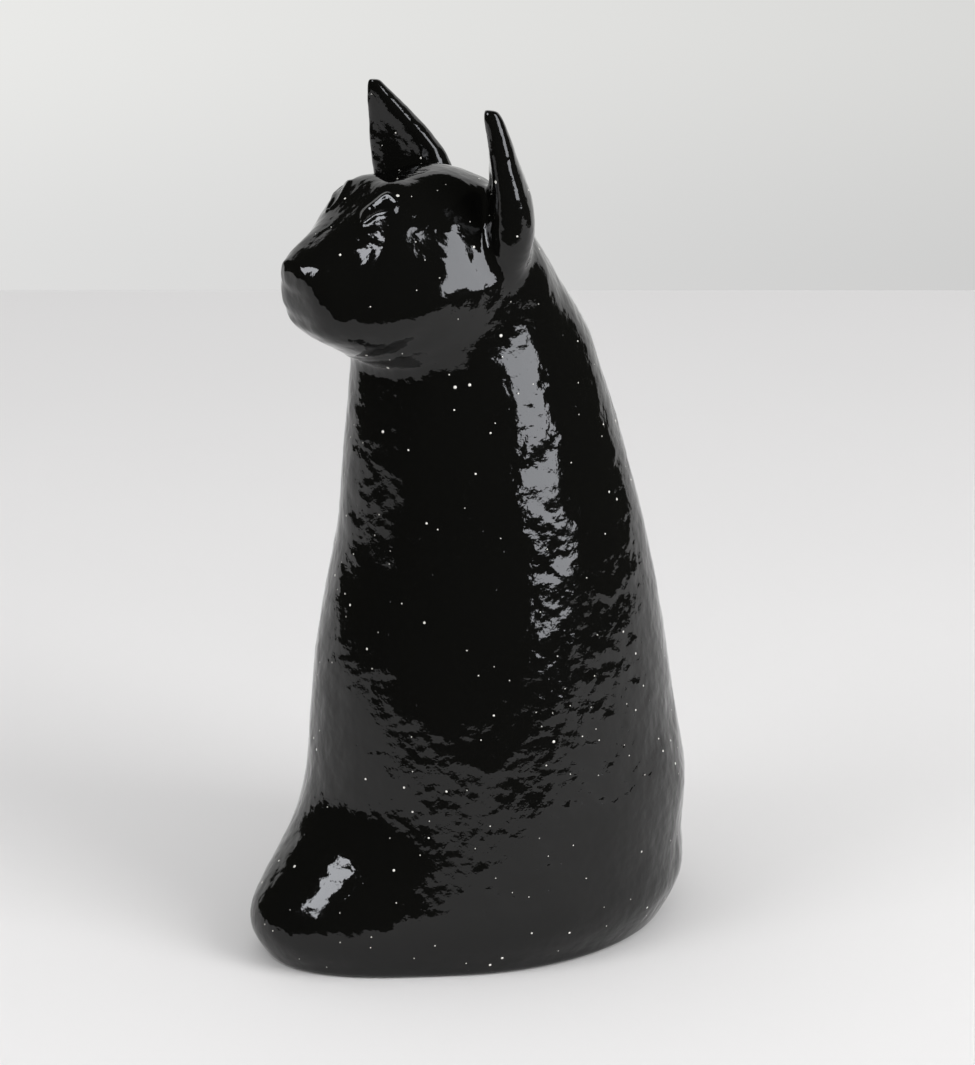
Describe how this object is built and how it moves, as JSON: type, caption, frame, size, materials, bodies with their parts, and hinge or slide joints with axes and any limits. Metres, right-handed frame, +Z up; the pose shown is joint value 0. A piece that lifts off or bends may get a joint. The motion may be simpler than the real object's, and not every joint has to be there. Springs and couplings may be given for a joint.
{
  "type": "ceramic cat figurine",
  "caption": "Seated cat figurine in gloss black glazed stoneware, hollow hand-built body with upright ears and paws merged into a low front mound.",
  "frame": {"origin": "on the table plane under the middle of the cat's width and length", "axes": "+Z up, -Y the way the cat faces, +X its left side"},
  "size_m": [0.1732, 0.2346, 0.416],
  "materials": {
    "black_glaze": "gloss black glaze with small white flecks over hand-smoothed stoneware",
    "bare_clay": "unglazed fired stoneware, matt and slightly sandy"
  },
  "bodies": {
    "root": {"base_slab": "bare_clay", "base_coil": "bare_clay", "haunch_wall": "black_glaze", "paw_mound": "black_glaze", "belly_wall": "black_glaze", "waist_coil": "bare_clay", "shoulder_wall": "black_glaze", "skull": "black_glaze", "muzzle": "black_glaze", "left_ear": "black_glaze", "right_ear": "black_glaze", "left_upper_lid": "black_glaze", "right_upper_lid": "black_glaze", "left_lower_lid": "black_glaze", "right_lower_lid": "black_glaze"}
  },
  "joints": []
}
